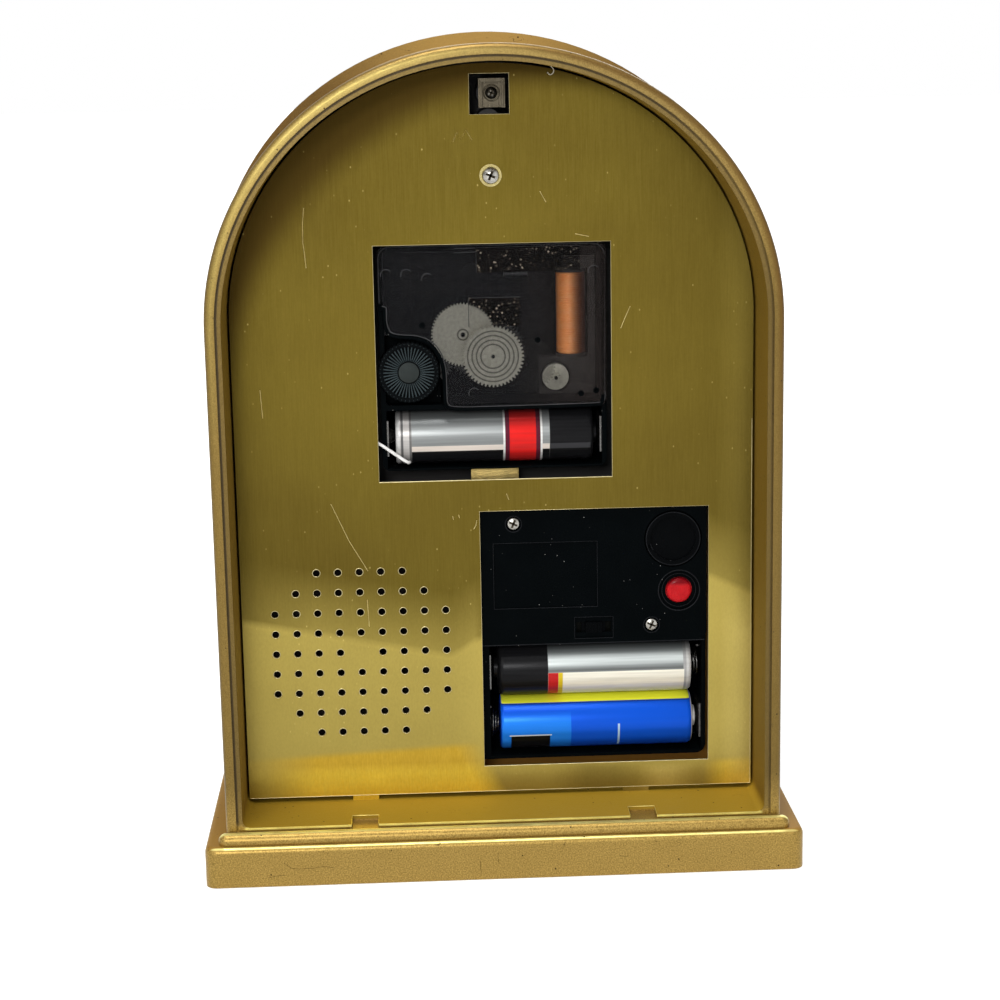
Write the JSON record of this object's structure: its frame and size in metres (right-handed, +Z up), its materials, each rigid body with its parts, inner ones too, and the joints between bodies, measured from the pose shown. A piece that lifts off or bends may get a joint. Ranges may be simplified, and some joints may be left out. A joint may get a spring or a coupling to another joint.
{
  "type": "musical table clock",
  "caption": "Arched table clock on a stepped base, shown with its rear cover off: brass plate with sound holes, quartz movement and melody module.",
  "frame": {"origin": "centre of the underside of the base", "axes": "+Z up, the dial faces +Y, the open back faces -Y, +X is to the right seen from behind"},
  "size_m": [0.1484, 0.07, 0.2053],
  "materials": {
    "case_paint": "speckled gold, satin",
    "panel_gold": "satin gold moulding",
    "dial_print": "matt ivory",
    "lens_clear": "clear",
    "bezel_brass": "polished",
    "plate_brass": "brushed",
    "screw_steel": "bright",
    "bracket_steel": "dull",
    "black_moulding": "fine grain",
    "smoky_cover": "smoky clear",
    "wheel_plastic": "moulded",
    "pipe_brass": "turned",
    "magnet_black": "sintered",
    "yoke_steel": "pressed sheet",
    "bobbin_plastic": "moulded",
    "copper_wire": "enamelled copper",
    "board": "laminate",
    "crystal_can": "bright",
    "cell_wrap": "printed sleeve",
    "cell_wrap_dark": "printed sleeve",
    "cell_wrap_blue": "printed sleeve",
    "contact_steel": "plated",
    "button_red": "smooth",
    "speaker_metal": "pressed basket",
    "speaker_paper": "pulp",
    "lead_white": "sleeved wire",
    "lead_red": "sleeved wire",
    "lead_black": "sleeved wire",
    "hand_black": "satin"
  },
  "bodies": {
    "clock_body": {"back_plate": "plate_brass", "bracket_screw": "screw_steel", "case_shell": "case_paint", "clock_board": "board", "clock_contacts": "contact_steel", "coil_bobbin": "bobbin_plastic", "coil_core": "copper_wire", "coil_wire": "copper_wire", "crystal": "crystal_can", "dial_plate": "dial_print", "front_bezel": "bezel_brass", "front_lens": "lens_clear", "front_panel": "panel_gold", "lid_screws": "screw_steel", "lower_spring": "contact_steel", "module_board": "board", "module_case": "black_moulding", "module_contacts": "contact_steel", "module_lid": "black_moulding", "mounting_nut": "pipe_brass", "mounting_washer": "pipe_brass", "movement_case": "black_moulding", "movement_cover": "smoky_cover", "plate_screw": "screw_steel", "plate_washer": "pipe_brass", "speaker_cone": "speaker_paper", "speaker_frame": "speaker_metal", "speaker_lead_a": "lead_red", "speaker_lead_b": "lead_black", "stator": "yoke_steel", "top_bracket": "bracket_steel", "trigger_lead": "lead_white", "upper_spring": "contact_steel"},
    "second_train": {"second_wheel": "wheel_plastic", "second_hand": "hand_black"},
    "third_train": {"third_wheel": "wheel_plastic"},
    "step_train": {"step_wheel": "wheel_plastic"},
    "rotor_train": {"rotor": "magnet_black"},
    "centre_train": {"centre_wheel": "wheel_plastic"},
    "minute_train": {"minute_pipe": "pipe_brass", "minute_hand": "hand_black"},
    "motion_train": {"motion_wheel": "wheel_plastic"},
    "hour_train": {"hour_wheel": "wheel_plastic", "hour_hand": "hand_black"},
    "idler_train": {"setting_idler": "wheel_plastic"},
    "knob_train": {"setting_knob": "black_moulding"},
    "volume": {"volume_dial": "black_moulding"},
    "melody": {"melody_button": "button_red"},
    "mode": {"mode_switch": "black_moulding"},
    "clock_cell": {"clock_battery": "cell_wrap"},
    "upper_cell": {"upper_battery": "cell_wrap_dark"},
    "lower_cell": {"lower_battery": "cell_wrap_blue"}
  },
  "joints": [
    {"name": "rotor_spin", "type": "hinge", "parent": "clock_body", "child": "rotor_train", "pos_m": [0.0158, 0, 0.1204], "axis": [0, -1, 0], "continuous": true},
    {"name": "step_spin", "type": "hinge", "parent": "clock_body", "child": "step_train", "pos_m": [0.00879, 0, 0.12381], "axis": [0, -1, 0], "continuous": true},
    {"name": "second_spin", "type": "hinge", "parent": "clock_body", "child": "second_train", "pos_m": [0.0001, 0, 0.1264], "axis": [0, -1, 0], "continuous": true},
    {"name": "third_spin", "type": "hinge", "parent": "clock_body", "child": "third_train", "pos_m": [-0.0072, 0, 0.1317], "axis": [0, -1, 0], "continuous": true},
    {"name": "centre_spin", "type": "hinge", "parent": "clock_body", "child": "centre_train", "pos_m": [0.0001, 0, 0.1264], "axis": [0, -1, 0], "continuous": true},
    {"name": "minute_spin", "type": "hinge", "parent": "clock_body", "child": "minute_train", "pos_m": [0.0001, 0, 0.1264], "axis": [0, -1, 0], "continuous": true},
    {"name": "motion_spin", "type": "hinge", "parent": "clock_body", "child": "motion_train", "pos_m": [-0.00583, 0, 0.12549], "axis": [0, -1, 0], "continuous": true},
    {"name": "hour_spin", "type": "hinge", "parent": "clock_body", "child": "hour_train", "pos_m": [0.0001, 0, 0.1264], "axis": [0, -1, 0], "continuous": true},
    {"name": "idler_spin", "type": "hinge", "parent": "clock_body", "child": "idler_train", "pos_m": [-0.01367, 0, 0.12347], "axis": [0, -1, 0], "continuous": true},
    {"name": "knob_spin", "type": "hinge", "parent": "clock_body", "child": "knob_train", "pos_m": [-0.02087, 0, 0.1232], "axis": [0, -1, 0], "continuous": true},
    {"name": "volume_turn", "type": "hinge", "parent": "clock_body", "child": "volume", "pos_m": [0.0445, 0, 0.0795], "axis": [0, -1, 0], "range_deg": [-135, 135]},
    {"name": "melody_press", "type": "slide", "parent": "clock_body", "child": "melody", "axis": [0, 1, 0], "range_m": [0, 0.0012], "stiffness_N_per_m": 300},
    {"name": "mode_slide", "type": "slide", "parent": "clock_body", "child": "mode", "axis": [1, 0, 0], "range_m": [-0.0022, 0.0022]},
    {"name": "clock_cell_out", "type": "slide", "parent": "clock_body", "child": "clock_cell", "axis": [0, -1, 0], "range_m": [0, 0.045], "deforming": ["trigger_lead"]},
    {"name": "upper_cell_out", "type": "slide", "parent": "clock_body", "child": "upper_cell", "axis": [0, -1, 0], "range_m": [0, 0.045]},
    {"name": "lower_cell_out", "type": "slide", "parent": "clock_body", "child": "lower_cell", "axis": [0, -1, 0], "range_m": [0, 0.045]}
  ],
  "couplings": [
    {"joint": "step_spin", "follows": "rotor_spin", "ratio": -0.16},
    {"joint": "second_spin", "follows": "rotor_spin", "ratio": 0.033333},
    {"joint": "third_spin", "follows": "rotor_spin", "ratio": -0.0055556},
    {"joint": "centre_spin", "follows": "rotor_spin", "ratio": 0.00055556},
    {"joint": "motion_spin", "follows": "minute_spin", "ratio": -0.33333},
    {"joint": "hour_spin", "follows": "minute_spin", "ratio": 0.083333},
    {"joint": "idler_spin", "follows": "minute_spin", "ratio": 0.41667},
    {"joint": "knob_spin", "follows": "minute_spin", "ratio": -0.41667}
  ]
}
